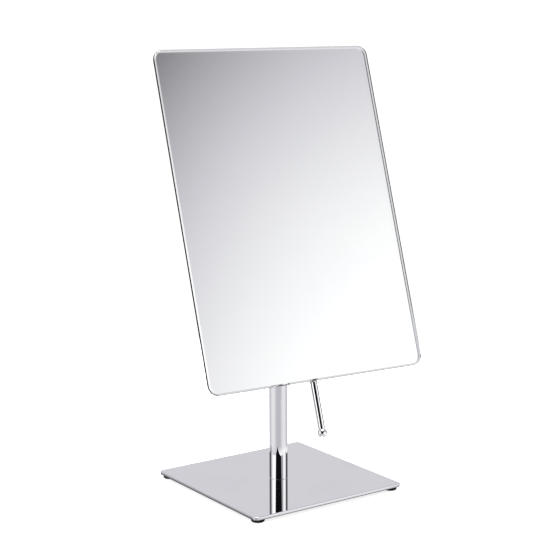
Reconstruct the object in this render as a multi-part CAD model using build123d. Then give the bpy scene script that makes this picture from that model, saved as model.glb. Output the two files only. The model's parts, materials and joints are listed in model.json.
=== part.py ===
from build123d import *
import os

# Countertop mirror: a rectangular glass on a chromed post, tilted by a thin lever with a ball end.
# Millimetres, +Z up. The origin is the centre of the footprint, on the surface the mirror stands on.
# The glass faces -Y and its tilt axis lies along X. The base is stored turned by base_turn about Z,
# because the head swivels on the post.

# Base plate and its rubber feet
plate_side = 120.65
plate_thickness = 2.5
plate_corner_radius = 3.0
plate_edge_round = 0.6
base_turn = 3.6
foot_diameter = 9.5
foot_height = 2.2
foot_draft = 0.5
foot_edge_round = 0.7
foot_edge_distance = 5.7

# Post: a plain tube between a threaded plug and a flanged bush
post_diameter = 12.7
post_wall = 1.2
post_length = 152.4
post_end_chamfer = 0.3
plug_length = 18.0
plug_lead = 0.6
plug_bore_depth = 14.0
bush_flange_thickness = 1.5
bush_length = 12.0
bush_edge = 0.3

# Screw that holds the post to the plate from below, its head sunk in the plate
base_screw_diameter = 5.0
base_screw_grip = 10.0
base_screw_socket = 3.0
base_screw_socket_depth = 1.6

# Swivel: a fork whose stem turns in the bush, held down by a disc spring, washer and screw
stem_diameter = 6.0
swivel_washer_thickness = 0.8
swivel_washer_rim = 0.5
fork_collar_overhang = 2.05
fork_collar_height = 4.0
fork_cheek = 3.0
fork_depth = 12.7
fork_corner_radius = 1.5
fork_edge_round = 0.4
tilt_axis_rise = 14.0
spring_thickness = 0.5
spring_height = 1.1
thrust_washer_thickness = 1.0
swivel_screw_diameter = 3.0
swivel_screw_length = 7.0
swivel_screw_head_diameter = 5.6
swivel_screw_head_height = 1.9
swivel_screw_socket = 2.0
swivel_screw_socket_depth = 1.1

# Tilt joint: the bracket's tongue between the fork's cheeks, on a screw with a lock nut
tilt_rest = 18.55
tongue_thickness = 5.0
tongue_end_radius = 6.35
tongue_root_height = 21.0
tongue_root_round = 1.2
tilt_washer_diameter = 11.6
tilt_washer_thickness = 0.8
tilt_screw_diameter = 5.0
tilt_screw_head_diameter = 9.5
tilt_screw_head_height = 2.75
tilt_screw_socket = 3.0
tilt_screw_socket_depth = 1.5
tilt_screw_tail = 0.8
tilt_spring_diameter = 10.0
lock_nut_flats = 8.0
lock_nut_hex_height = 3.6
lock_nut_height = 5.0
lock_nut_collar_diameter = 7.2

# Mirror: glass, silvering, foam tape and a stiff back panel
glass_width = 165.0
glass_height = 224.0
glass_thickness = 3.0
glass_corner_radius = 7.0
glass_edge_land = 0.4
glass_centre_rise = 11.4
silver_thickness = 0.1
silver_edge_gap = 0.2
foam_thickness = 0.8
foam_width = 12.0
foam_edge_distance = 2.0
panel_thickness = 2.0
panel_inset = 4.0
panel_edge_round = 0.3

# Tilt bracket, screwed to the back panel
bracket_width = 40.0
bracket_height = 50.0
bracket_thickness = 3.0
bracket_corner_radius = 4.0
bracket_edge_round = 0.5
bracket_drop = 6.0
bracket_to_axis = 14.5
bracket_screw_pitch_x = 28.0
bracket_screw_pitch_z = 36.0
bracket_screw_diameter = 3.0
bracket_screw_length = 4.4
bracket_screw_socket = 2.0
bracket_screw_socket_depth = 0.9

# Tilt lever: a straight rod screwed into the bracket, with a ball on its lower end
rod_diameter = 4.76
rod_thread_diameter = 4.0
rod_thread_grip = 9.0
rod_tip_diameter = 3.0
rod_tip_length = 3.6
boss_diameter = 8.4
boss_length = 14.0
boss_overhang = 0.5
boss_off_panel = 0.5
boss_bore_depth = 11.0
jam_nut_flats = 7.0
jam_nut_height = 2.6
ball_diameter = 6.35
ball_below_centre = 146.0

# Fits
running_clearance = 0.05
face_clearance = 0.02
screw_clearance = 0.25
loose_clearance = 0.35
sunk_head_recess = 0.05
hole_land = 0.35
sunk_head_rim = 0.25

# Levels and radii that follow from the sizes above
plate_top = foot_height + plate_thickness
post_top = plate_top + post_length
post_radius = post_diameter / 2
post_bore_radius = post_radius - post_wall
bush_bottom = post_top - bush_length
stem_radius = stem_diameter / 2
collar_bottom = post_top + bush_flange_thickness + face_clearance + swivel_washer_thickness
tilt_axis_height = collar_bottom + tilt_axis_rise
stem_end = bush_bottom - face_clearance - spring_height
slot_width = tongue_thickness + 2 * tilt_washer_thickness + 2 * face_clearance
fork_width = slot_width + 2 * fork_cheek
glass_edge_round = (glass_thickness - glass_edge_land) / 2
silver_inset = glass_edge_round + silver_edge_gap
panel_back = -bracket_to_axis - bracket_thickness
foam_back = panel_back - panel_thickness
silver_back = foam_back - foam_thickness
glass_back = silver_back - silver_thickness
glass_front = glass_back - glass_thickness
panel_width = glass_width - 2 * panel_inset
panel_height = glass_height - 2 * panel_inset
rod_y = panel_back + boss_off_panel + boss_diameter / 2
boss_bottom = -bracket_drop - bracket_height / 2 - boss_overhang
ball_z = glass_centre_rise - ball_below_centre

base_place = Rot(0, 0, base_turn)
fork_place = Pos(0, 0, tilt_axis_height)
head_place = fork_place * Rot(-tilt_rest, 0, 0)

nodes = {}


def turned(*corners):
    """A solid turned about Z from corners given as (radius, height)."""
    return revolve(make_face(Plane.XZ * Polyline(*corners, close=True)), Axis.Z)


def ring(outer_radius, inner_radius, thickness):
    """A flat ring standing on the XY plane."""
    return extrude(Circle(outer_radius) - Circle(inner_radius), thickness)


def disc_spring(inner_radius, outer_radius):
    """A coned spring washer: wide edge down on the XY plane, narrow edge up."""
    return turned(
        (outer_radius, 0),
        (outer_radius, spring_thickness),
        (inner_radius, spring_height),
        (inner_radius, spring_height - spring_thickness),
    )


def hex_prism(across_flats, height):
    """A hexagonal prism standing on the XY plane."""
    return extrude(RegularPolygon(across_flats / 2, 6, major_radius=False), height)


def sunk_head_radius(shank_radius, plate):
    """Radius of a 90-degree sunk head that fills a plate of this thickness down to the land."""
    return shank_radius + plate - hole_land - sunk_head_rim


def sunk_screw(shank_radius, plate, length, socket, socket_depth):
    """A 90-degree sunk-head screw pointing up from the plate's outer face at z = 0."""
    head_radius = sunk_head_radius(shank_radius, plate)
    cone_top = sunk_head_recess + sunk_head_rim + head_radius - shank_radius
    screw = turned(
        (0, sunk_head_recess),
        (head_radius, sunk_head_recess),
        (head_radius, sunk_head_recess + sunk_head_rim),
        (shank_radius, cone_top),
        (shank_radius, length - 0.4),
        (shank_radius - 0.4, length),
        (0, length),
    )
    return screw - Pos(0, 0, sunk_head_recess) * hex_prism(socket, socket_depth)


def sunk_hole(shank_radius, plate):
    """The countersunk hole in the plate, on the same cone as the screw's head."""
    head_radius = sunk_head_radius(shank_radius, plate)
    mouth_radius = head_radius + sunk_head_recess + sunk_head_rim
    hole_radius = shank_radius + screw_clearance
    return turned(
        (0, 0),
        (mouth_radius, 0),
        (hole_radius, mouth_radius - hole_radius),
        (hole_radius, plate),
        (0, plate),
    )


def drilled(radius, depth):
    """A blind drilled hole going up from z = 0, with the drill's 118-degree point."""
    return turned((0, 0), (radius, 0), (radius, depth), (0, depth + 0.6 * radius))


# Base plate: polished plate with softened top and bottom edges and one countersunk hole in the middle.
base_plate = extrude(RectangleRounded(plate_side, plate_side, plate_corner_radius), plate_thickness)
base_plate = fillet(base_plate.faces().sort_by(Axis.Z)[0].edges(), plate_edge_round)
base_plate = fillet(base_plate.faces().sort_by(Axis.Z)[-1].edges(), plate_edge_round)
base_plate -= sunk_hole(base_screw_diameter / 2, plate_thickness)
nodes["base_plate"] = base_place * Pos(0, 0, foot_height) * base_plate

# Rubber feet: four low round bumpers, each narrower at the bottom, stuck under the plate's corners.
foot = Cone(
    foot_diameter / 2 - foot_draft,
    foot_diameter / 2,
    foot_height,
    align=(Align.CENTER, Align.CENTER, Align.MIN),
)
foot = fillet(foot.faces().sort_by(Axis.Z)[0].edges(), foot_edge_round)
foot_offset = plate_side / 2 - foot_edge_distance
for row, side_y in (("front", -1), ("back", 1)):
    for side, side_x in (("left", -1), ("right", 1)):
        foot_place = base_place * Pos(side_x * foot_offset, side_y * foot_offset, 0)
        nodes[f"foot_{row}_{side}"] = foot_place * foot

# Base screw: sunk-head socket screw, up through the plate into the plug in the foot of the post.
base_screw = sunk_screw(
    base_screw_diameter / 2,
    plate_thickness,
    plate_thickness + base_screw_grip,
    base_screw_socket,
    base_screw_socket_depth,
)
nodes["base_screw"] = base_place * Pos(0, 0, foot_height) * base_screw

# Foot plug: threaded steel plug pressed into the tube, flush with its lower end.
post_foot_plug = turned(
    (0, 0),
    (post_bore_radius - plug_lead, 0),
    (post_bore_radius, plug_lead),
    (post_bore_radius, plug_length - plug_lead),
    (post_bore_radius - plug_lead, plug_length),
    (0, plug_length),
)
post_foot_plug -= drilled(base_screw_diameter / 2, plug_bore_depth)
nodes["post_foot_plug"] = Pos(0, 0, plate_top) * post_foot_plug

# Post: one plain drawn tube, both ends faced square and just broken at the edge.
post_tube = ring(post_radius, post_bore_radius, post_length)
post_ends = post_tube.edges().filter_by(GeomType.CIRCLE).group_by(SortBy.RADIUS)[-1]
post_tube = chamfer(post_ends, post_end_chamfer)
nodes["post_tube"] = Pos(0, 0, plate_top) * post_tube

# Head bush: flanged plastic bearing pressed into the top of the tube.
bush_bore_radius = stem_radius + running_clearance
bush_top = bush_length + bush_flange_thickness
post_head_bush = turned(
    (bush_bore_radius, 0),
    (post_bore_radius - bush_edge, 0),
    (post_bore_radius, bush_edge),
    (post_bore_radius, bush_length),
    (post_radius, bush_length),
    (post_radius, bush_top - bush_edge),
    (post_radius - bush_edge, bush_top),
    (bush_bore_radius, bush_top),
)
nodes["post_head_bush"] = Pos(0, 0, bush_bottom) * post_head_bush

# Swivel washer: nylon ring between the bush and the fork's collar.
swivel_washer = ring(
    post_radius - swivel_washer_rim,
    stem_radius + running_clearance,
    swivel_washer_thickness,
)
nodes["swivel_washer"] = Pos(0, 0, collar_bottom - swivel_washer_thickness) * swivel_washer

# Swivel fork: one casting. The stem turns in the post, the collar rests on the swivel washer, and
# two cheeks rise on either side of the tilt axis. Here z = 0 is the tilt axis.
stem = Pos(0, 0, stem_end - tilt_axis_height) * Cylinder(
    stem_radius,
    collar_bottom - stem_end,
    align=(Align.CENTER, Align.CENTER, Align.MIN),
)
stem = chamfer(stem.faces().sort_by(Axis.Z)[0].edges(), 0.3)
collar = Pos(0, 0, -tilt_axis_rise) * Cylinder(
    post_radius + fork_collar_overhang,
    fork_collar_height,
    align=(Align.CENTER, Align.CENTER, Align.MIN),
)
collar = fillet(collar.edges().filter_by(GeomType.CIRCLE), fork_edge_round)
cheek_block = extrude(
    RectangleRounded(fork_width, fork_depth, fork_corner_radius),
    tilt_axis_rise - fork_collar_height / 2 + fork_depth / 2,
)
cheek_block = Pos(0, 0, -tilt_axis_rise + fork_collar_height / 2) * cheek_block
cheek_outline = Plane.YZ * (
    Circle(fork_depth / 2) + Pos(0, -tilt_axis_rise / 2) * Rectangle(fork_depth, tilt_axis_rise)
)
cheek_block &= extrude(cheek_outline, fork_width, both=True)
fork_slot = Pos(0, 0, fork_collar_height - tilt_axis_rise) * Box(
    slot_width,
    4 * fork_depth,
    2 * tilt_axis_rise,
    align=(Align.CENTER, Align.CENTER, Align.MIN),
)
tilt_bore_radius = tilt_screw_diameter / 2 + running_clearance
tilt_bore = Rot(0, 90, 0) * Cylinder(tilt_bore_radius, 2 * fork_width)
swivel_fork = stem + collar + cheek_block - fork_slot - tilt_bore
swivel_fork -= Pos(0, 0, stem_end - tilt_axis_height) * drilled(
    swivel_screw_diameter / 2,
    swivel_screw_length + 1.5,
)
nodes["swivel_fork"] = fork_place * swivel_fork

# Under the bush, inside the tube: a disc spring, a thrust washer on the end of the stem, and its screw.
thrust_washer_radius = post_bore_radius - loose_clearance
swivel_disc_spring = disc_spring(stem_radius + running_clearance, thrust_washer_radius)
nodes["swivel_disc_spring"] = Pos(0, 0, stem_end) * swivel_disc_spring
swivel_thrust_washer = ring(
    thrust_washer_radius,
    swivel_screw_diameter / 2 + running_clearance,
    thrust_washer_thickness,
)
washer_bottom = stem_end - thrust_washer_thickness
nodes["swivel_thrust_washer"] = Pos(0, 0, washer_bottom) * swivel_thrust_washer
swivel_screw = turned(
    (0, -swivel_screw_head_height),
    (swivel_screw_head_diameter / 2 - 0.5, -swivel_screw_head_height),
    (swivel_screw_head_diameter / 2, 0.5 - swivel_screw_head_height),
    (swivel_screw_head_diameter / 2, 0),
    (swivel_screw_diameter / 2, 0),
    (swivel_screw_diameter / 2, swivel_screw_length - 0.3),
    (swivel_screw_diameter / 2 - 0.3, swivel_screw_length),
    (0, swivel_screw_length),
)
swivel_screw -= Pos(0, 0, -swivel_screw_head_height) * hex_prism(
    swivel_screw_socket,
    swivel_screw_socket_depth,
)
nodes["swivel_screw"] = Pos(0, 0, washer_bottom) * swivel_screw

# Tilt washers: a nylon ring on the inner face of each cheek.
tilt_washer = Rot(0, 90, 0) * ring(
    tilt_washer_diameter / 2,
    tilt_bore_radius,
    tilt_washer_thickness,
)
nodes["tilt_washer_left"] = fork_place * Pos(-slot_width / 2, 0, 0) * tilt_washer
nodes["tilt_washer_right"] = (
    fork_place * Pos(slot_width / 2 - tilt_washer_thickness, 0, 0) * tilt_washer
)

# Tilt screw: domed socket head on the left cheek, shank through the cheeks, washers and tongue.
tilt_screw_length = fork_width + spring_height + lock_nut_height + tilt_screw_tail
head_flat_radius = tilt_screw_head_diameter / 4
tilt_screw_profile = Plane.XZ * make_face(
    [
        Line((0, -tilt_screw_head_height), (head_flat_radius, -tilt_screw_head_height)),
        ThreePointArc(
            (head_flat_radius, -tilt_screw_head_height),
            (0.42 * tilt_screw_head_diameter, -0.66 * tilt_screw_head_height),
            (tilt_screw_head_diameter / 2, -0.15 * tilt_screw_head_height),
        ),
        Polyline(
            (tilt_screw_head_diameter / 2, -0.15 * tilt_screw_head_height),
            (tilt_screw_head_diameter / 2, 0),
            (tilt_screw_diameter / 2, 0),
            (tilt_screw_diameter / 2, tilt_screw_length - 0.5),
            (tilt_screw_diameter / 2 - 0.5, tilt_screw_length),
            (0, tilt_screw_length),
            (0, -tilt_screw_head_height),
        ),
    ]
)
tilt_screw = revolve(tilt_screw_profile, Axis.Z)
tilt_screw -= Pos(0, 0, -tilt_screw_head_height) * hex_prism(
    tilt_screw_socket,
    tilt_screw_socket_depth,
)
left_cheek_face = fork_place * Pos(-fork_width / 2, 0, 0) * Rot(0, 90, 0)
nodes["tilt_screw"] = left_cheek_face * tilt_screw

# Disc spring and lock nut on the right cheek: they set how stiffly the mirror tilts.
right_cheek_face = fork_place * Pos(fork_width / 2, 0, 0) * Rot(0, 90, 0)
tilt_disc_spring = disc_spring(tilt_bore_radius, tilt_spring_diameter / 2)
nodes["tilt_disc_spring"] = right_cheek_face * tilt_disc_spring
lock_nut_collar = Pos(0, 0, lock_nut_hex_height) * Cylinder(
    lock_nut_collar_diameter / 2,
    lock_nut_height - lock_nut_hex_height,
    align=(Align.CENTER, Align.CENTER, Align.MIN),
)
lock_nut_collar = fillet(lock_nut_collar.faces().sort_by(Axis.Z)[-1].edges(), 0.6)
lock_nut_turning = turned(
    (0, 0),
    (lock_nut_flats / 2, 0),
    (lock_nut_flats / 2 + 0.7, 0.4),
    (lock_nut_flats / 2 + 0.7, lock_nut_hex_height - 0.4),
    (lock_nut_flats / 2, lock_nut_hex_height),
    (0, lock_nut_hex_height),
)
tilt_lock_nut = hex_prism(lock_nut_flats, lock_nut_hex_height) & lock_nut_turning
tilt_lock_nut = tilt_lock_nut + lock_nut_collar
tilt_lock_nut -= Cylinder(tilt_screw_diameter / 2, 4 * lock_nut_height)
nodes["tilt_lock_nut"] = right_cheek_face * Pos(0, 0, spring_height) * tilt_lock_nut


def standing_sheet(width, height, thickness, corner_radius, front):
    """An upright rounded sheet of the head, its front face at y = front, centred on the glass."""
    sheet = extrude(Plane.XZ * RectangleRounded(width, height, corner_radius), -thickness)
    return Pos(0, front, glass_centre_rise) * sheet


# Glass: flat sheet with rounded corners and a polished pencil edge, round from front to back but
# for a narrow land.
mirror_glass = standing_sheet(
    glass_width,
    glass_height,
    glass_thickness,
    glass_corner_radius,
    glass_front,
)
mirror_glass = fillet(mirror_glass.faces().sort_by(Axis.Y)[0].edges(), glass_edge_round)
mirror_glass = fillet(mirror_glass.faces().sort_by(Axis.Y)[-1].edges(), glass_edge_round)
nodes["mirror_glass"] = head_place * mirror_glass

# Silvering: the reflecting coat and its protective paint on the flat of the glass's back.
mirror_silvering = standing_sheet(
    glass_width - 2 * silver_inset,
    glass_height - 2 * silver_inset,
    silver_thickness,
    glass_corner_radius - silver_inset,
    glass_back,
)
nodes["mirror_silvering"] = head_place * mirror_silvering

# Foam tape: four strips, one along each side, that bond the silvered glass to the back panel.
strip_x = panel_width / 2 - foam_edge_distance - foam_width / 2
strip_z = panel_height / 2 - foam_edge_distance - foam_width / 2
long_strip = Box(foam_width, foam_thickness, panel_height - 2 * foam_edge_distance)
cross_strip = Box(2 * strip_x - foam_width, foam_thickness, foam_width)
foam_middle = silver_back + foam_thickness / 2
for side, side_x in (("left", -1), ("right", 1)):
    strip_place = head_place * Pos(side_x * strip_x, foam_middle, glass_centre_rise)
    nodes[f"foam_strip_{side}"] = strip_place * long_strip
for side, side_z in (("bottom", -1), ("top", 1)):
    strip_place = head_place * Pos(0, foam_middle, glass_centre_rise + side_z * strip_z)
    nodes[f"foam_strip_{side}"] = strip_place * cross_strip

# Back panel: flat painted sheet, smaller than the glass all round, countersunk for the bracket's screws.
back_panel = standing_sheet(
    panel_width,
    panel_height,
    panel_thickness,
    max(glass_corner_radius - panel_inset, 1.0),
    foam_back,
)
back_panel = fillet(back_panel.faces().sort_by(Axis.Y)[-1].edges(), panel_edge_round)
screw_places = [
    Pos(side_x * bracket_screw_pitch_x / 2, foam_back, z) * Rot(-90, 0, 0)
    for side_x in (-1, 1)
    for z in (
        -bracket_drop - bracket_screw_pitch_z / 2,
        -bracket_drop + bracket_screw_pitch_z / 2,
    )
]
for place in screw_places:
    back_panel -= place * sunk_hole(bracket_screw_diameter / 2, panel_thickness)
nodes["back_panel"] = head_place * back_panel

# Bracket screws: four sunk-head screws, put in from the front of the panel before the glass goes on.
bracket_screw = sunk_screw(
    bracket_screw_diameter / 2,
    panel_thickness,
    bracket_screw_length,
    bracket_screw_socket,
    bracket_screw_socket_depth,
)
nodes["bracket_screws"] = Compound([head_place * place * bracket_screw for place in screw_places])

# Tilt bracket: one casting with a flat plate, a tongue that reaches back to the tilt axis, and a
# boss for the lever low on the plate.
bracket_plate = extrude(
    Plane.XZ * RectangleRounded(bracket_width, bracket_height, bracket_corner_radius),
    -bracket_thickness,
)
bracket_plate = fillet(bracket_plate.faces().sort_by(Axis.Y)[-1].edges(), bracket_edge_round)
bracket_plate = Pos(0, panel_back, -bracket_drop) * bracket_plate
root_y = -bracket_to_axis - bracket_thickness / 2
tongue_outline = make_hull(
    (
        Pos(0, 0) * Circle(tongue_end_radius)
        + Pos(root_y + 0.05, 0) * Rectangle(0.1, tongue_root_height)
    ).edges()
)
tongue = extrude(Plane.YZ * tongue_outline, tongue_thickness / 2, both=True)
boss = Pos(0, rod_y, boss_bottom) * Cylinder(
    boss_diameter / 2,
    boss_length,
    align=(Align.CENTER, Align.CENTER, Align.MIN),
)
tilt_bracket = bracket_plate + tongue + boss
tilt_bracket -= Rot(0, 90, 0) * Cylinder(tilt_bore_radius, 2 * tongue_thickness)
tilt_bracket -= Pos(0, rod_y, boss_bottom) * drilled(rod_thread_diameter / 2, boss_bore_depth)
for place in screw_places:
    tilt_bracket -= place * Cylinder(bracket_screw_diameter / 2, 4 * (panel_thickness + bracket_thickness))
nodes["tilt_bracket"] = head_place * tilt_bracket

# Lever: straight chromed rod, threaded into the boss, locked by a thin nut, with a ball pressed on
# its lower tip.
rod_top = boss_bottom - jam_nut_height
tip_top = ball_z + ball_diameter / 2 - 0.5
lever_rod = Pos(0, rod_y, 0) * turned(
    (0, tip_top - rod_tip_length),
    (rod_tip_diameter / 2, tip_top - rod_tip_length),
    (rod_tip_diameter / 2, tip_top),
    (rod_diameter / 2, tip_top),
    (rod_diameter / 2, rod_top),
    (rod_thread_diameter / 2, rod_top),
    (rod_thread_diameter / 2, boss_bottom + rod_thread_grip - 0.4),
    (rod_thread_diameter / 2 - 0.4, boss_bottom + rod_thread_grip),
    (0, boss_bottom + rod_thread_grip),
)
nodes["lever_rod"] = head_place * lever_rod
lever_jam_nut = hex_prism(jam_nut_flats, jam_nut_height) & turned(
    (0, 0),
    (jam_nut_flats / 2, 0),
    (jam_nut_flats / 2 + 0.6, 0.35),
    (jam_nut_flats / 2 + 0.6, jam_nut_height - 0.35),
    (jam_nut_flats / 2, jam_nut_height),
    (0, jam_nut_height),
)
lever_jam_nut -= Cylinder(rod_thread_diameter / 2, 4 * jam_nut_height)
nodes["lever_jam_nut"] = head_place * Pos(0, rod_y, rod_top) * lever_jam_nut
ball_socket = Pos(0, 0, tip_top - ball_z - rod_tip_length) * Cylinder(
    rod_tip_diameter / 2,
    ball_diameter,
    align=(Align.CENTER, Align.CENTER, Align.MIN),
)
ball_flat = Pos(0, 0, tip_top - ball_z) * Cylinder(
    ball_diameter,
    ball_diameter,
    align=(Align.CENTER, Align.CENTER, Align.MIN),
)
lever_ball = Sphere(ball_diameter / 2) - ball_socket - ball_flat
nodes["lever_ball"] = head_place * Pos(0, rod_y, ball_z) * lever_ball

os.makedirs("parts", exist_ok=True)
for name, shape in nodes.items():
    export_step(shape, f"parts/{name}.step")
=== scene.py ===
import json
from math import pi, radians

import bmesh
import bpy
from mathutils import Matrix, Vector


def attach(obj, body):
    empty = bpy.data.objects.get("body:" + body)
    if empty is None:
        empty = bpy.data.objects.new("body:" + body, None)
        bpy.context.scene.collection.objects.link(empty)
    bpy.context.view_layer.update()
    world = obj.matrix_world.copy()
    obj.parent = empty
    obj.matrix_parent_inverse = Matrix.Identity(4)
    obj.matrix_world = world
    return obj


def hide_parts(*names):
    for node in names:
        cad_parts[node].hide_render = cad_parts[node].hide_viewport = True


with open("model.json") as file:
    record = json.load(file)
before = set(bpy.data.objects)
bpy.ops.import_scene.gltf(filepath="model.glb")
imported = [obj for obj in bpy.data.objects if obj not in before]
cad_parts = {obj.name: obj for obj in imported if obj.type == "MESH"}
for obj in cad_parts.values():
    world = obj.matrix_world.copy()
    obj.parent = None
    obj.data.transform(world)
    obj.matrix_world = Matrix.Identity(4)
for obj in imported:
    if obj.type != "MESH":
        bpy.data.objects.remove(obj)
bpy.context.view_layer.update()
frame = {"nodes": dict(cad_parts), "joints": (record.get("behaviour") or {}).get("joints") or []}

scene = bpy.context.scene
nodes = frame["nodes"]
joints = {joint["name"]: joint for joint in frame["joints"]}

# ---------------------------------------------------------------------------------------------------
# Base plate: a square of cold-rolled steel, its edges rolled over by polishing, then nickelled and
# chromed. It is the ballast that keeps the tall head from tipping.
# ---------------------------------------------------------------------------------------------------
GROUP_KINDS = {"float": "NodeSocketFloat", "vector": "NodeSocketVector", "colour": "NodeSocketColor"}


def link(tree, source, target):
    tree.links.new(source, target)


def feed(tree, socket, value):
    """Links a socket's value, or writes a plain number or colour into the socket."""
    if isinstance(value, bpy.types.NodeSocket):
        link(tree, value, socket)
    else:
        socket.default_value = value


def math_node(tree, operation, *values):
    node = tree.nodes.new("ShaderNodeMath")
    node.operation = operation
    for socket, value in zip(node.inputs, values):
        feed(tree, socket, value)
    return node.outputs[0]


def smooth_step(tree, value, start, end, low=0.0, high=1.0):
    """A soft step of value, from low at start to high at end."""
    node = tree.nodes.new("ShaderNodeMapRange")
    node.interpolation_type = "SMOOTHSTEP"
    feed(tree, node.inputs["Value"], value)
    for label, number in (("From Min", start), ("From Max", end), ("To Min", low), ("To Max", high)):
        feed(tree, node.inputs[label], number)
    return node.outputs["Result"]


def blend_colours(tree, share, first, second):
    node = tree.nodes.new("ShaderNodeMix")
    node.data_type = "RGBA"
    feed(tree, node.inputs["Factor"], share)
    feed(tree, node.inputs[6], first)
    feed(tree, node.inputs[7], second)
    return node.outputs[2]


def noise(tree, where, scale, detail=2.0, distortion=0.0):
    node = tree.nodes.new("ShaderNodeTexNoise")
    link(tree, where, node.inputs["Vector"])
    feed(tree, node.inputs["Scale"], scale)
    node.inputs["Detail"].default_value = detail
    node.inputs["Distortion"].default_value = distortion
    return node.outputs["Fac"]


def clamped(tree, value, low, high):
    return math_node(tree, "MINIMUM", math_node(tree, "MAXIMUM", value, low), high)


def mixed_shader(tree, share, first, second):
    node = tree.nodes.new("ShaderNodeMixShader")
    for socket, source in zip(node.inputs, (share, first, second)):
        link(tree, source, socket)
    return node.outputs[0]


def stretched(tree, where, factors):
    node = tree.nodes.new("ShaderNodeVectorMath")
    node.operation = "MULTIPLY"
    link(tree, where, node.inputs[0])
    node.inputs[1].default_value = factors
    return node.outputs[0]


def new_group(name, inputs, outputs):
    """An empty shader group with named sockets: its tree, its entry's and its exit's sockets."""
    tree = bpy.data.node_groups.new(name, "ShaderNodeTree")
    for label, kind in inputs:
        tree.interface.new_socket(name=label, in_out="INPUT", socket_type=GROUP_KINDS[kind])
    for label, kind in outputs:
        tree.interface.new_socket(name=label, in_out="OUTPUT", socket_type=GROUP_KINDS[kind])
    entry = tree.nodes.new("NodeGroupInput")
    leave = tree.nodes.new("NodeGroupOutput")
    return tree, entry.outputs, leave.inputs


def use_group(tree, group, **values):
    """Places a group in a material. Underscores in the names stand for the sockets' spaces."""
    node = tree.nodes.new("ShaderNodeGroup")
    node.node_tree = group
    for label, value in values.items():
        feed(tree, node.inputs[label.replace("_", " ")], value)
    return node.outputs


def new_material(name, roughness, metallic=0.0):
    """A material, its node tree and its Principled shader."""
    material = bpy.data.materials.new(name)
    material.use_nodes = True
    tree = material.node_tree
    shader = tree.nodes["Principled BSDF"]
    shader.inputs["Roughness"].default_value = roughness
    shader.inputs["Metallic"].default_value = metallic
    return material, tree, shader


def on_piece(tree, centre=(0, 0, 0), turn=(0, 0, 0)):
    """Object coordinates in metres, centred and turned on a piece."""
    where = tree.nodes.new("ShaderNodeTexCoord")
    mapping = tree.nodes.new("ShaderNodeMapping")
    mapping.vector_type = "TEXTURE"
    mapping.inputs["Location"].default_value = centre
    mapping.inputs["Rotation"].default_value = turn
    link(tree, where.outputs["Object"], mapping.inputs["Vector"])
    return mapping.outputs["Vector"]


def raise_surface(tree, shader, height, distance):
    """Turns a height that varies over the surface into the shader's normal."""
    bump = tree.nodes.new("ShaderNodeBump")
    bump.inputs["Distance"].default_value = distance
    link(tree, height, bump.inputs["Height"])
    link(tree, bump.outputs["Normal"], shader.inputs["Normal"])


def finish(material, *names):
    """Gives a material to CAD nodes."""
    for name in names:
        for slot in nodes[name].material_slots:
            slot.material = material


# Buffing leaves a long shallow wave, a finer grain across it and a little haze in the plating.
buffing, given, result = new_group(
    "buffing",
    [("Vector", "vector"), ("Polish", "float"), ("Haze", "float"), ("Wave", "float"), ("Bright", "colour"),
     ("Deep", "colour")],
    [("Color", "colour"), ("Roughness", "float"), ("Height", "float")],
)
wave = noise(buffing, given["Vector"], given["Wave"], 1.0)
cloud = noise(buffing, given["Vector"], 24.0, 3.0, 0.8)
grain = noise(buffing, stretched(buffing, given["Vector"], (160.0, 1400.0, 1400.0)), 1.0, 2.0)
haze = smooth_step(buffing, cloud, 0.45, 0.8)
link(buffing, blend_colours(buffing, haze, given["Bright"], given["Deep"]), result["Color"])
dulled = math_node(buffing, "MULTIPLY_ADD", haze, given["Haze"], given["Polish"])
link(buffing, math_node(buffing, "MULTIPLY_ADD", grain, 0.008, dulled), result["Roughness"])
link(buffing, math_node(buffing, "MULTIPLY_ADD", grain, 0.02, wave), result["Height"])


def chrome(name, polish, haze, wave_count, wave_depth, centre=(0, 0, 0), turn=(0, 0, 0)):
    """Polished chrome over nickel, with its buffing grain along the piece's own X."""
    material, tree, shader = new_material(name, polish, 1.0)
    film = use_group(
        tree,
        buffing,
        Vector=on_piece(tree, centre, turn),
        Polish=polish,
        Haze=haze,
        Wave=wave_count,
        Bright=(0.885, 0.882, 0.898, 1.0),
        Deep=(0.855, 0.850, 0.872, 1.0),
    )
    link(tree, film["Color"], shader.inputs["Base Color"])
    link(tree, film["Roughness"], shader.inputs["Roughness"])
    raise_surface(tree, shader, film["Height"], wave_depth)
    return material


base_turn = radians(3.6)
finish(chrome("plate_chrome", 0.012, 0.02, 18.0, 0.0000012, turn=(0, 0, base_turn)), "base_plate")

# ---------------------------------------------------------------------------------------------------
# Feet: four moulded rubber bumpers with a self-adhesive back, pressed on under the plate's corners.
# Their skin is finely pitted by the mould, and the rim picks up dust from the counter.
# ---------------------------------------------------------------------------------------------------
# Grains and pits of a moulded, sprayed or cast skin.
pitted_skin, given, result = new_group(
    "pitted_skin",
    [("Vector", "vector"), ("Pits", "float"), ("Unevenness", "float")],
    [("Height", "float"), ("Mottle", "float")],
)
pits = pitted_skin.nodes.new("ShaderNodeTexVoronoi")
pits.feature = "SMOOTH_F1"
pits.inputs["Smoothness"].default_value = 0.6
link(pitted_skin, given["Vector"], pits.inputs["Vector"])
link(pitted_skin, given["Pits"], pits.inputs["Scale"])
fine = noise(pitted_skin, given["Vector"], math_node(pitted_skin, "MULTIPLY", given["Pits"], 2.3), 3.0)
broad = noise(pitted_skin, given["Vector"], math_node(pitted_skin, "MULTIPLY", given["Pits"], 0.11), 2.0)
uneven = math_node(pitted_skin, "MULTIPLY", broad, given["Unevenness"])
skin = math_node(pitted_skin, "MULTIPLY_ADD", fine, 0.5, pits.outputs["Distance"])
link(pitted_skin, math_node(pitted_skin, "ADD", skin, uneven), result["Height"])
link(pitted_skin, smooth_step(pitted_skin, broad, 0.3, 0.7), result["Mottle"])

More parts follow.
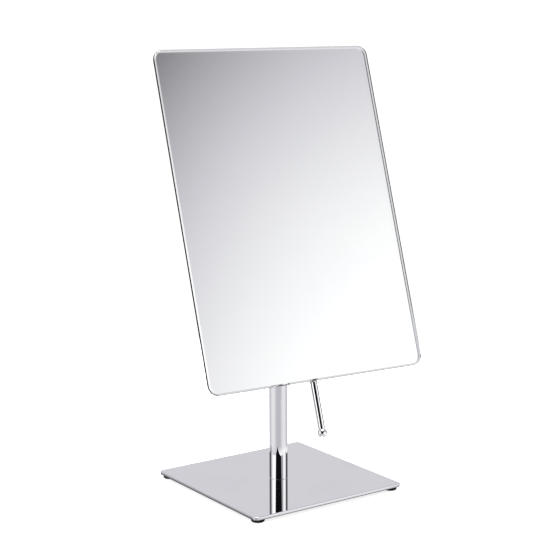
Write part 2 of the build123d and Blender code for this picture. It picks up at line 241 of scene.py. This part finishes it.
# Dust lies where a face looks up, in soft patches.
dust, given, result = new_group(
    "dust",
    [("Vector", "vector"), ("Facing", "vector"), ("Amount", "float")],
    [("Mask", "float")],
)
facing = dust.nodes.new("ShaderNodeSeparateXYZ")
link(dust, given["Facing"], facing.inputs[0])
looking_up = smooth_step(dust, facing.outputs["Z"], 0.1, 0.95)
patches = smooth_step(dust, noise(dust, given["Vector"], 260.0, 5.0, 0.4), 0.42, 0.72)
link(
    dust,
    math_node(dust, "MULTIPLY", math_node(dust, "MULTIPLY", looking_up, patches), given["Amount"]),
    result["Mask"],
)

# Edges rub through first: the mask follows the narrow edges and breaks up along them.
rubbed_edges, given, result = new_group(
    "rubbed_edges",
    [("Vector", "vector"), ("Width", "float"), ("Breaks", "float")],
    [("Mask", "float")],
)
rounded = rubbed_edges.nodes.new("ShaderNodeBevel")
rounded.samples = 4
link(rubbed_edges, given["Width"], rounded.inputs["Radius"])
true_face = rubbed_edges.nodes.new("ShaderNodeNewGeometry")
turned_by = rubbed_edges.nodes.new("ShaderNodeVectorMath")
turned_by.operation = "DOT_PRODUCT"
link(rubbed_edges, rounded.outputs["Normal"], turned_by.inputs[0])
link(rubbed_edges, true_face.outputs["Normal"], turned_by.inputs[1])
edge = smooth_step(rubbed_edges, turned_by.outputs["Value"], 0.995, 0.86)
breaks = smooth_step(rubbed_edges, noise(rubbed_edges, given["Vector"], given["Breaks"], 4.0, 0.3), 0.5, 0.68)
link(rubbed_edges, math_node(rubbed_edges, "MULTIPLY", edge, breaks), result["Mask"])


def facing_of(tree):
    """The surface's own direction, carried along when the piece moves."""
    return tree.nodes.new("ShaderNodeTexCoord").outputs["Normal"]


rubber, tree, shader = new_material("foot_rubber", 0.62)
where = on_piece(tree)
skin = use_group(tree, pitted_skin, Vector=where, Pits=2600.0, Unevenness=0.4)
settled = use_group(tree, dust, Vector=where, Facing=facing_of(tree), Amount=0.2)
worn = use_group(tree, rubbed_edges, Vector=where, Width=0.0004, Breaks=900.0)
body_colour = blend_colours(tree, skin["Mottle"], (0.018, 0.018, 0.019, 1), (0.028, 0.027, 0.027, 1))
scuffed = blend_colours(tree, worn["Mask"], body_colour, (0.10, 0.10, 0.10, 1))
link(tree, blend_colours(tree, settled["Mask"], scuffed, (0.30, 0.29, 0.27, 1)), shader.inputs["Base Color"])
link(tree, smooth_step(tree, skin["Mottle"], 0.0, 1.0, 0.56, 0.74), shader.inputs["Roughness"])
raise_surface(tree, shader, skin["Height"], 0.00004)
shader.inputs["Specular IOR Level"].default_value = 0.3
finish(rubber, "foot_front_left", "foot_front_right", "foot_back_left", "foot_back_right")

# ---------------------------------------------------------------------------------------------------
# Base screw and foot plug: a sunk-head socket screw through the plate into a turned, threaded plug
# that is pressed into the foot of the post. Both are steel with a bright zinc coat.
# ---------------------------------------------------------------------------------------------------
# Turning leaves rings about the axis on faces and shanks alike.
lathe_marks, given, result = new_group(
    "lathe_marks",
    [("Vector", "vector"), ("Rings", "float")],
    [("Marks", "float"), ("Patina", "float")],
)
apart = lathe_marks.nodes.new("ShaderNodeSeparateXYZ")
link(lathe_marks, given["Vector"], apart.inputs[0])
out_from_axis = lathe_marks.nodes.new("ShaderNodeVectorMath")
out_from_axis.operation = "LENGTH"
link(lathe_marks, stretched(lathe_marks, given["Vector"], (1, 1, 0)), out_from_axis.inputs[0])
unrolled = lathe_marks.nodes.new("ShaderNodeCombineXYZ")
link(lathe_marks, out_from_axis.outputs["Value"], unrolled.inputs["X"])
link(lathe_marks, apart.outputs["Z"], unrolled.inputs["Y"])
link(lathe_marks, noise(lathe_marks, unrolled.outputs[0], given["Rings"], 3.0), result["Marks"])
patina = noise(lathe_marks, given["Vector"], 420.0, 3.0, 0.5)
link(lathe_marks, smooth_step(lathe_marks, patina, 0.35, 0.7), result["Patina"])

quarter = pi / 2
tilt_place = Vector(joints["tilt"]["pos_m"])
tilt_rest = radians(18.55)


def zinc(name, centre=(0, 0, 0), turn=(0, 0, 0), bright=(0.66, 0.67, 0.69, 1), warm=(0.60, 0.575, 0.52, 1)):
    """Bright zinc on turned or rolled steel, its rings about the piece's own Z."""
    material, tree, shader = new_material(name, 0.3, 1.0)
    where = on_piece(tree, centre, turn)
    turning = use_group(tree, lathe_marks, Vector=where, Rings=5200.0)
    link(tree, blend_colours(tree, turning["Patina"], bright, warm), shader.inputs["Base Color"])
    link(tree, smooth_step(tree, turning["Marks"], 0.3, 0.7, 0.20, 0.38), shader.inputs["Roughness"])
    raise_surface(tree, shader, turning["Marks"], 0.00003)
    return material


finish(zinc("zinc_on_post_axis"), "base_screw", "post_foot_plug", "swivel_screw", "swivel_thrust_washer")

# ---------------------------------------------------------------------------------------------------
# Post: one plain drawn tube, chromed like the plate. Drawing leaves faint lines along its length, and
# the buffing wheel a slow wave around it.
# ---------------------------------------------------------------------------------------------------
finish(chrome("post_chrome", 0.014, 0.025, 26.0, 0.0000014, turn=(0, quarter, 0)), "post_tube")

# ---------------------------------------------------------------------------------------------------
# Head bush: a flanged bearing turned from white acetal and pressed into the top of the post. The
# fork's stem turns in it.
# ---------------------------------------------------------------------------------------------------
acetal, tree, shader = new_material("bush_acetal", 0.42)
turning = use_group(tree, lathe_marks, Vector=on_piece(tree), Rings=4200.0)
cream = blend_colours(tree, turning["Patina"], (0.80, 0.785, 0.74, 1), (0.73, 0.71, 0.65, 1))
link(tree, cream, shader.inputs["Base Color"])
link(tree, smooth_step(tree, turning["Marks"], 0.3, 0.7, 0.34, 0.5), shader.inputs["Roughness"])
shader.inputs["Subsurface Weight"].default_value = 0.15
shader.inputs["Subsurface Radius"].default_value = (0.001, 0.0009, 0.0007)
raise_surface(tree, shader, turning["Marks"], 0.00004)
finish(acetal, "post_head_bush")

# ---------------------------------------------------------------------------------------------------
# Swivel: the fork is one zinc casting, fettled and chromed, so it keeps a softer gloss than the
# tube. A nylon ring carries it, and an oiled disc spring under the bush gives the turn its drag.
# ---------------------------------------------------------------------------------------------------
cast_chrome, tree, shader = new_material("cast_chrome", 0.1, 1.0)
where = on_piece(tree, centre=tilt_place)
film = use_group(
    tree,
    buffing,
    Vector=where,
    Polish=0.06,
    Haze=0.10,
    Wave=190.0,
    Bright=(0.84, 0.84, 0.855, 1.0),
    Deep=(0.79, 0.785, 0.80, 1.0),
)
skin = use_group(tree, pitted_skin, Vector=where, Pits=900.0, Unevenness=1.2)
link(tree, film["Color"], shader.inputs["Base Color"])
link(tree, film["Roughness"], shader.inputs["Roughness"])
cast_height = math_node(tree, "MULTIPLY_ADD", skin["Height"], 0.35, film["Height"])
raise_surface(tree, shader, cast_height, 0.00001)
finish(cast_chrome, "swivel_fork")

# Nylon is milky, with flow marks from the mould and a polish where it has been rubbed.
def nylon(name, centre, turn):
    material, tree, shader = new_material(name, 0.45)
    where = on_piece(tree, centre, turn)
    turning = use_group(tree, lathe_marks, Vector=where, Rings=1500.0)
    skin = use_group(tree, pitted_skin, Vector=where, Pits=3200.0, Unevenness=0.5)
    milky = blend_colours(tree, turning["Patina"], (0.78, 0.765, 0.70, 1), (0.70, 0.68, 0.60, 1))
    link(tree, milky, shader.inputs["Base Color"])
    link(tree, smooth_step(tree, turning["Marks"], 0.35, 0.65, 0.32, 0.52), shader.inputs["Roughness"])
    shader.inputs["Subsurface Weight"].default_value = 0.2
    shader.inputs["Subsurface Radius"].default_value = (0.0012, 0.001, 0.0008)
    raise_surface(tree, shader, skin["Height"], 0.00002)
    return material


def spring_steel(name, centre=(0, 0, 0), turn=(0, 0, 0)):
    """Hardened and oiled: dark straw to blue-grey, with the stamping's rings showing through."""
    return zinc(name, centre, turn, bright=(0.36, 0.355, 0.36, 1), warm=(0.27, 0.235, 0.20, 1))


finish(nylon("nylon_on_post_axis", (0, 0, 0), (0, 0, 0)), "swivel_washer")
finish(spring_steel("spring_on_post_axis"), "swivel_disc_spring")

# ---------------------------------------------------------------------------------------------------
# Tilt joint: a domed socket screw through the fork's cheeks, a nylon ring inside each cheek, and a
# disc spring under a lock nut that sets how stiffly the mirror tilts.
# ---------------------------------------------------------------------------------------------------
along_tilt = (0, quarter, 0)
finish(nylon("nylon_on_tilt_axis", tilt_place, along_tilt), "tilt_washer_left", "tilt_washer_right")
finish(zinc("zinc_on_tilt_axis", tilt_place, along_tilt), "tilt_screw", "tilt_lock_nut")
finish(spring_steel("spring_on_tilt_axis", tilt_place, along_tilt), "tilt_disc_spring")

# ---------------------------------------------------------------------------------------------------
# Glass: 3 mm float glass with a polished pencil edge. Its faces are bare and clean, and the ground
# rim is greener and a shade less clear.
# ---------------------------------------------------------------------------------------------------
head_turn = Matrix.Rotation(-tilt_rest, 4, "X")
head_place = Matrix.Translation(tilt_place) @ head_turn

glass, tree, shader = new_material("float_glass", 0.0)
shader.inputs["Transmission Weight"].default_value = 1.0
shader.inputs["IOR"].default_value = 1.52
across_pane = tree.nodes.new("ShaderNodeVectorMath")
across_pane.operation = "DOT_PRODUCT"
link(tree, facing_of(tree), across_pane.inputs[0])
across_pane.inputs[1].default_value = head_turn @ Vector((0, 1, 0))
on_rim = smooth_step(tree, math_node(tree, "ABSOLUTE", across_pane.outputs["Value"]), 0.999, 0.9)
smears = noise(tree, on_piece(tree, centre=tilt_place), 9.0, 4.0, 1.2)
smeared = smooth_step(tree, smears, 0.35, 0.7)
clear = blend_colours(tree, smeared, (0.985, 0.993, 0.988, 1), (0.975, 0.988, 0.982, 1))
link(tree, blend_colours(tree, on_rim, clear, (0.90, 0.955, 0.93, 1)), shader.inputs["Base Color"])
link(tree, math_node(tree, "MULTIPLY", on_rim, 0.03), shader.inputs["Roughness"])
finish(glass, "mirror_glass")

# ---------------------------------------------------------------------------------------------------
# Silvering: silver laid on the flat of the glass's back, under copper and two coats of grey paint.
# It stops short of the pencil edge. The sheet here bites a hair into the glass, as the real coat
# has no gap to it.
# ---------------------------------------------------------------------------------------------------
silver_size = (0.1620, 0.0001, 0.2210)
silver_corner = 0.0055
silver_bite = 0.00002
glass_back = -0.0204
glass_rise = 0.0114


def standing_sheet(size, corner, front, segments):
    """An upright sheet in the head's own axes with rounded corners, its front face at y = front."""
    form = bmesh.new()
    bmesh.ops.create_cube(form, size=1.0)
    bmesh.ops.scale(form, vec=size, verts=form.verts)
    upright = [edge for edge in form.edges if abs(edge.verts[0].co.y - edge.verts[1].co.y) > size[1] / 2]
    bmesh.ops.bevel(
        form,
        geom=upright,
        offset=corner,
        offset_type="OFFSET",
        segments=segments,
        profile=0.5,
        affect="EDGES",
        material=-1,
    )
    bmesh.ops.translate(form, vec=(0, front + size[1] / 2, glass_rise), verts=form.verts)
    return form


def keep(name, form, body, materials):
    """Writes a form from the head's own axes into the scene as a piece that rides a body."""
    bmesh.ops.transform(form, matrix=head_place, verts=form.verts)
    mesh = bpy.data.meshes.new(name)
    form.to_mesh(mesh)
    form.free()
    for material in materials:
        mesh.materials.append(material)
    piece = bpy.data.objects.new(name, mesh)
    scene.collection.objects.link(piece)
    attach(piece, body)
    return piece


silver, tree, shader = new_material("silver", 0.0, 1.0)
tarnish = noise(tree, on_piece(tree, centre=tilt_place), 5.0, 3.0, 0.6)
tarnished = smooth_step(tree, tarnish, 0.35, 0.7)
silver_tone = blend_colours(tree, tarnished, (0.965, 0.962, 0.972, 1), (0.955, 0.952, 0.966, 1))
link(tree, silver_tone, shader.inputs["Base Color"])

backing_paint, tree, shader = new_material("backing_paint", 0.55)
skin = use_group(tree, pitted_skin, Vector=on_piece(tree), Pits=1800.0, Unevenness=0.8)
paint_tone = blend_colours(tree, skin["Mottle"], (0.19, 0.175, 0.16, 1), (0.24, 0.225, 0.20, 1))
link(tree, paint_tone, shader.inputs["Base Color"])
raise_surface(tree, shader, skin["Height"], 0.00003)

silver_form = standing_sheet(silver_size, silver_corner, glass_back - silver_bite, 8)
front_face = min(silver_form.faces, key=lambda face: face.calc_center_median().y)
for face in silver_form.faces:
    face.material_index = 0 if face is front_face else 1
silver_coat = keep("silver_coat", silver_form, "head", (silver, backing_paint))
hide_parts("mirror_silvering")

# ---------------------------------------------------------------------------------------------------
# Foam tape: four strips of closed-cell foam with glue on both faces, cut square, that hold the
# glass to its panel and take up the unevenness between them.
# ---------------------------------------------------------------------------------------------------
foam, tree, shader = new_material("foam_tape", 0.85)
where = on_piece(tree, centre=tilt_place, turn=(-tilt_rest, 0, 0))
cells = tree.nodes.new("ShaderNodeTexVoronoi")
cells.feature = "F1"
cells.inputs["Scale"].default_value = 4200.0
link(tree, where, cells.inputs["Vector"])
foam_skin = use_group(tree, pitted_skin, Vector=where, Pits=5200.0, Unevenness=0.5)
cell_wall = smooth_step(tree, cells.outputs["Distance"], 0.1, 0.6)
foam_tone = blend_colours(tree, cell_wall, (0.045, 0.045, 0.047, 1), (0.13, 0.13, 0.13, 1))
link(tree, foam_tone, shader.inputs["Base Color"])
raise_surface(tree, shader, math_node(tree, "ADD", cells.outputs["Distance"], foam_skin["Height"]), 0.0001)
finish(foam, "foam_strip_left", "foam_strip_right", "foam_strip_bottom", "foam_strip_top")

# ---------------------------------------------------------------------------------------------------
# Back panel: aluminium sheet, blanked and powder coated dark grey. It stiffens the glass and takes
# the bracket's screws.
# ---------------------------------------------------------------------------------------------------
def powder_coat(name, dark, light, bare, pits, depth, roughness, wear_width):
    """A baked powder coat with its orange peel, rubbed thin on the edges and a little dusty."""
    material, tree, shader = new_material(name, roughness)
    where = on_piece(tree, centre=tilt_place, turn=(-tilt_rest, 0, 0))
    skin = use_group(tree, pitted_skin, Vector=where, Pits=pits, Unevenness=1.0)
    settled = use_group(tree, dust, Vector=where, Facing=facing_of(tree), Amount=0.22)
    worn = use_group(tree, rubbed_edges, Vector=where, Width=wear_width, Breaks=320.0)
    coat = blend_colours(tree, skin["Mottle"], dark, light)
    coat = blend_colours(tree, worn["Mask"], coat, bare)
    link(tree, blend_colours(tree, settled["Mask"], coat, (0.32, 0.31, 0.30, 1)), shader.inputs["Base Color"])
    matt = smooth_step(tree, skin["Mottle"], 0.0, 1.0, roughness - 0.06, roughness + 0.08)
    link(tree, math_node(tree, "MULTIPLY_ADD", settled["Mask"], 0.3, matt), shader.inputs["Roughness"])
    link(tree, math_node(tree, "MULTIPLY", worn["Mask"], 0.8), shader.inputs["Metallic"])
    raise_surface(tree, shader, skin["Height"], depth)
    return material


panel_coat = powder_coat(
    "panel_powder_coat",
    dark=(0.110, 0.111, 0.115, 1),
    light=(0.120, 0.121, 0.126, 1),
    bare=(0.42, 0.42, 0.43, 1),
    pits=950.0,
    depth=0.00006,
    roughness=0.42,
    wear_width=0.0003,
)
finish(panel_coat, "back_panel")

# ---------------------------------------------------------------------------------------------------
# Bracket and its screws: a zinc casting, powder coated black, with the tongue that the fork grips
# and a boss for the lever. Four sunk socket screws hold it, put in from the panel's front.
# ---------------------------------------------------------------------------------------------------
bracket_coat = powder_coat(
    "bracket_powder_coat",
    dark=(0.040, 0.040, 0.043, 1),
    light=(0.056, 0.056, 0.060, 1),
    bare=(0.36, 0.36, 0.37, 1),
    pits=1500.0,
    depth=0.00007,
    roughness=0.46,
    wear_width=0.0005,
)
finish(bracket_coat, "tilt_bracket")
finish(zinc("zinc_behind_panel", tilt_place, (-tilt_rest + quarter, 0, 0)), "bracket_screws")

# ---------------------------------------------------------------------------------------------------
# Lever: a straight chromed rod screwed into the bracket's boss and held by a thin nut, with a ball
# pressed on its lower tip. It is the handle that keeps fingers off the glass.
# ---------------------------------------------------------------------------------------------------
rod_y = -0.0128
rod_foot = head_place @ Vector((0, rod_y, 0))
along_rod = (-tilt_rest, 0, 0)
finish(zinc("zinc_on_rod", rod_foot, along_rod), "lever_jam_nut")
lever_chrome = chrome("lever_chrome", 0.02, 0.03, 60.0, 0.000001, rod_foot, (quarter - tilt_rest, 0, 0))
finish(lever_chrome, "lever_rod", "lever_ball")

# ---------------------------------------------------------------------------------------------------
# Table: a round white top, lit evenly. What polished metal sees of it is a glow with painted shade: dimmer
# towards the dark gap where the camera stands and towards the back wall, darker beside the plate's left than
# its right, and a painted shadow under the base plate.
# ---------------------------------------------------------------------------------------------------
camera_azimuth = radians(-31.42)
table_radius = 0.45
table_fade_from = 0.33
table_glow = 0.8
plate_half = 0.0603
white = (1, 1, 1, 1)

table_form = bmesh.new()
bmesh.ops.create_circle(table_form, cap_ends=True, radius=table_radius, segments=96)
table_mesh = bpy.data.meshes.new("table")
table_form.to_mesh(table_mesh)
table_form.free()
table = bpy.data.objects.new("table", table_mesh)
scene.collection.objects.link(table)


def round_the_axis(tree, where):
    """Degrees round from the camera's side, the distance from the vertical axis, and the height."""
    turned = tree.nodes.new("ShaderNodeVectorRotate")
    turned.rotation_type = "Z_AXIS"
    turned.inputs["Angle"].default_value = -camera_azimuth
    link(tree, where, turned.inputs["Vector"])
    parts = tree.nodes.new("ShaderNodeSeparateXYZ")
    link(tree, turned.outputs[0], parts.inputs[0])
    towards = math_node(tree, "MULTIPLY", parts.outputs["Y"], -1.0)
    round_angle = math_node(tree, "ARCTAN2", parts.outputs["X"], towards)
    reach = tree.nodes.new("ShaderNodeVectorMath")
    reach.operation = "LENGTH"
    link(tree, stretched(tree, turned.outputs[0], (1, 1, 0)), reach.inputs[0])
    return math_node(tree, "MULTIPLY", round_angle, 180 / pi), reach.outputs["Value"], parts.outputs["Z"]


def cool_white(tree, level):
    """A light level as a colour: faintly lilac in the greys, neutral towards white."""
    lilac = math_node(tree, "MULTIPLY_ADD", level, -0.09, 0.09)
    lilac = math_node(tree, "MINIMUM", lilac, math_node(tree, "MULTIPLY", level, 0.05))
    lilac = math_node(tree, "MAXIMUM", lilac, 0.0)
    tone = tree.nodes.new("ShaderNodeCombineXYZ")
    link(tree, level, tone.inputs["X"])
    link(tree, math_node(tree, "MULTIPLY_ADD", lilac, -0.2, level), tone.inputs["Y"])
    link(tree, math_node(tree, "ADD", level, lilac), tone.inputs["Z"])
    return tone.outputs[0]


table_top, tree, shader = new_material("table_top", 0.9)
fibres = noise(tree, on_piece(tree), 900.0, 3.0)
paper = blend_colours(tree, fibres, (0.86, 0.86, 0.865, 1), (0.885, 0.885, 0.89, 1))
link(tree, paper, shader.inputs["Base Color"])
shader.inputs["Emission Color"].default_value = white
shader.inputs["Emission Strength"].default_value = table_glow
round_table, reach, _ = round_the_axis(tree, on_piece(tree))
aside = math_node(tree, "ABSOLUTE", round_table)
# Painted shade: the glow that metal sees dims towards the camera's side and towards the back wall.
near_camera = smooth_step(tree, aside, 14.0, 60.0, 0.64, 1.0)
near_wall = smooth_step(tree, aside, 78.0, 122.0, 0.87, 0.61)
away = math_node(tree, "MULTIPLY", near_camera, near_wall)
# Painted shade and light: close to the plate the glow is 0.70 on its left and 1.04 on its right.
beyond_plate = smooth_step(tree, reach, 0.078, 0.100)
painted_shade_beside_plate = smooth_step(tree, round_table, -20.0, -9.0, 0.70, 1.04)
painted_shade_by_plate = math_node(tree, "MULTIPLY", math_node(tree, "SUBTRACT", 1.0, beyond_plate), painted_shade_beside_plate)
painted_shade_level = math_node(tree, "MULTIPLY_ADD", away, beyond_plate, painted_shade_by_plate)
# Painted shadow: under the base and just beside it the glow is darkened, so the base's lower edges and the
# feet stay dark.
from_middle = tree.nodes.new("ShaderNodeVectorMath")
from_middle.operation = "ABSOLUTE"
link(tree, on_piece(tree, turn=(0, 0, base_turn)), from_middle.inputs[0])
apart = tree.nodes.new("ShaderNodeSeparateXYZ")
link(tree, from_middle.outputs[0], apart.inputs[0])
farther_side = math_node(tree, "MAXIMUM", apart.outputs["X"], apart.outputs["Y"])
beside = math_node(tree, "SUBTRACT", farther_side, plate_half)
painted_contact_shadow = smooth_step(tree, beside, 0.002, 0.011, 0.08, 1.0)
painted_shade_level = math_node(tree, "MULTIPLY", painted_shade_level, painted_contact_shadow)
seen_table = tree.nodes.new("ShaderNodeEmission")
link(tree, cool_white(tree, painted_shade_level), seen_table.inputs["Color"])
# Towards its rim the top fades into the room, so polished tubes show no hard line there.
fading = smooth_step(tree, reach, table_fade_from, table_radius)
no_table = tree.nodes.new("ShaderNodeBsdfTransparent")
fading_top = mixed_shader(tree, fading, seen_table.outputs[0], no_table.outputs[0])
ray = tree.nodes.new("ShaderNodeLightPath")
either = mixed_shader(tree, ray.outputs["Is Camera Ray"], fading_top, shader.outputs[0])
link(tree, either, tree.nodes["Material Output"].inputs["Surface"])
table_mesh.materials.append(table_top)

# ---------------------------------------------------------------------------------------------------
# Studio: a soft room. White panels stand to the left and right with a dark gap between them, the
# sides behind them are grey with a dark band, the wall at the back is grey, and one soft light hangs
# overhead. Bearings and heights are in degrees, and the bearing is 0 towards the camera.
# ---------------------------------------------------------------------------------------------------
panel_end = (96.0, 104.0)
wall_start = (152.0, 162.0)
wall_level = 0.692
floor_level = 0.6
upper_level = 0.5
backdrop_level = 1.1

world = bpy.data.worlds.new("studio_room")
scene.world = world
world.use_nodes = True
room = world.node_tree
room.nodes.clear()
sky = room.nodes.new("ShaderNodeTexCoord")
bearing, _, rise = round_the_axis(room, sky.outputs["Generated"])
aside = math_node(room, "ABSOLUTE", bearing)
height = math_node(room, "MULTIPLY", math_node(room, "ARCSINE", rise), 180 / pi)

# The gap between the panels widens upwards.
widening = math_node(room, "MULTIPLY", math_node(room, "SUBTRACT", height, 15.0), 3.4)
past_gap = math_node(room, "SUBTRACT", aside, clamped(room, widening, 0.0, 26.0))
outer_end = smooth_step(room, aside, *panel_end, 1.0, 0.0)
panels = math_node(room, "MULTIPLY", smooth_step(room, past_gap, 23.0, 29.0), outer_end)
# The right panel's light falls off upwards and towards the gap, as a smooth second-degree curve in
# bearing and height, and that is the shade in the glass.
across = clamped(room, bearing, 54.0, 71.0)
upward = clamped(room, height, 15.0, 32.0)
by_height = math_node(room, "MULTIPLY_ADD", upward, -0.001846, -0.001929)
by_height = math_node(room, "MULTIPLY_ADD", across, 0.00052, by_height)
by_bearing = math_node(room, "MULTIPLY_ADD", across, -0.002703, 0.3722)
fade = math_node(room, "MULTIPLY_ADD", across, by_bearing, -11.683)
fade = math_node(room, "MULTIPLY_ADD", upward, by_height, fade)
fade = clamped(room, fade, 0.2, 1.2)
full = smooth_step(room, aside, 58.0, panel_end[0], 1.35, 0.86)
low_band = math_node(room, "MULTIPLY", smooth_step(room, height, 16.4, 18.0, 1.0, 0.0), full)
on_left = smooth_step(room, bearing, -10.0, 10.0, 1.0, 0.0)
full_parts = math_node(room, "MAXIMUM", low_band, math_node(room, "MULTIPLY", on_left, full))
fade = math_node(room, "MAXIMUM", fade, full_parts)
# The left panel ends at the table's height, and the floor beyond it there is dark.
under_panel = math_node(room, "MULTIPLY", on_left, smooth_step(room, height, -3.0, 1.0, 1.0, 0.0))
fade = math_node(room, "MULTIPLY", fade, math_node(room, "SUBTRACT", 1.0, under_panel))
panel_light = math_node(room, "MULTIPLY", panels, fade)
wall = smooth_step(room, aside, *wall_start, 0.0, wall_level)
dark = smooth_step(room, height, 8.0, 16.0, 0.02, 0.006)
# The sides behind the panels are grey above the table's height on the left and from higher up on the
# right, but for a dark band a little above, which outlines polished tubes.
past_panels = smooth_step(room, aside, *panel_end, 0.0, wall_level)
side_wall = math_node(room, "MULTIPLY", past_panels, smooth_step(room, aside, *wall_start, 1.0, 0.0))
side_foot = smooth_step(room, bearing, -10.0, 10.0, -3.0, 9.0)
above_foot = smooth_step(room, math_node(room, "SUBTRACT", height, side_foot), 0.0, 5.0)
band_rise = smooth_step(room, height, 12.0, 15.0, 1.0, 0.15)
band_end = smooth_step(room, height, 22.0, 26.0, 0.15, 1.0)
outside_band = math_node(room, "MAXIMUM", band_rise, band_end)
side_share = math_node(room, "MULTIPLY", above_foot, outside_band)
wall = math_node(room, "MULTIPLY_ADD", side_wall, side_share, wall)
around = math_node(room, "ADD", math_node(room, "ADD", panel_light, wall), dark)
# The floor beyond the table is grey too, except on the left, where it lies in the dark.
off_left = smooth_step(room, bearing, -75.0, -55.0, 0.0, floor_level)
floor_light = math_node(room, "MULTIPLY", off_left, smooth_step(room, height, -11.0, -6.0, 1.0, 0.0))
around = math_node(room, "MAXIMUM", around, floor_light)
# Higher up the room is one grey, lighter near the lamp, and the lamp fills the top of the dome.
upper = smooth_step(room, height, 38.0, 58.0)
around_share = math_node(room, "MULTIPLY", around, math_node(room, "SUBTRACT", 1.0, upper))
level = math_node(room, "MULTIPLY_ADD", upper, upper_level, around_share)
level = math_node(room, "ADD", level, smooth_step(room, height, 54.0, 60.0, 0.0, 0.25))
level = math_node(room, "ADD", level, smooth_step(room, height, 71.0, 77.0, 0.0, 9.5))
room_light = room.nodes.new("ShaderNodeBackground")
link(room, cool_white(room, level), room_light.inputs["Color"])
white_backdrop = room.nodes.new("ShaderNodeBackground")
white_backdrop.inputs["Color"].default_value = white
white_backdrop.inputs["Strength"].default_value = backdrop_level
ray = room.nodes.new("ShaderNodeLightPath")
either = mixed_shader(room, ray.outputs["Is Camera Ray"], room_light.outputs[0], white_backdrop.outputs[0])
link(room, either, room.nodes.new("ShaderNodeOutputWorld").inputs["Surface"])

# ---------------------------------------------------------------------------------------------------
# Camera: low and to the left of the mirror's front, with a long lens.
# ---------------------------------------------------------------------------------------------------
camera_pitch = radians(-10.478)
camera_roll = radians(-0.183)
camera_place = Vector((-0.5120, -0.8369, 0.3265))
camera_lens = 96.17

camera_data = bpy.data.cameras.new("studio_camera")
camera_data.sensor_width = 36.0
camera_data.lens = camera_lens
camera = bpy.data.objects.new("studio_camera", camera_data)
camera.matrix_world = (
    Matrix.Translation(camera_place)
    @ Matrix.Rotation(camera_azimuth, 4, "Z")
    @ Matrix.Rotation(pi / 2 + camera_pitch, 4, "X")
    @ Matrix.Rotation(camera_roll, 4, "Z")
)
scene.collection.objects.link(camera)
scene.camera = camera
scene.view_settings.view_transform = "Standard"
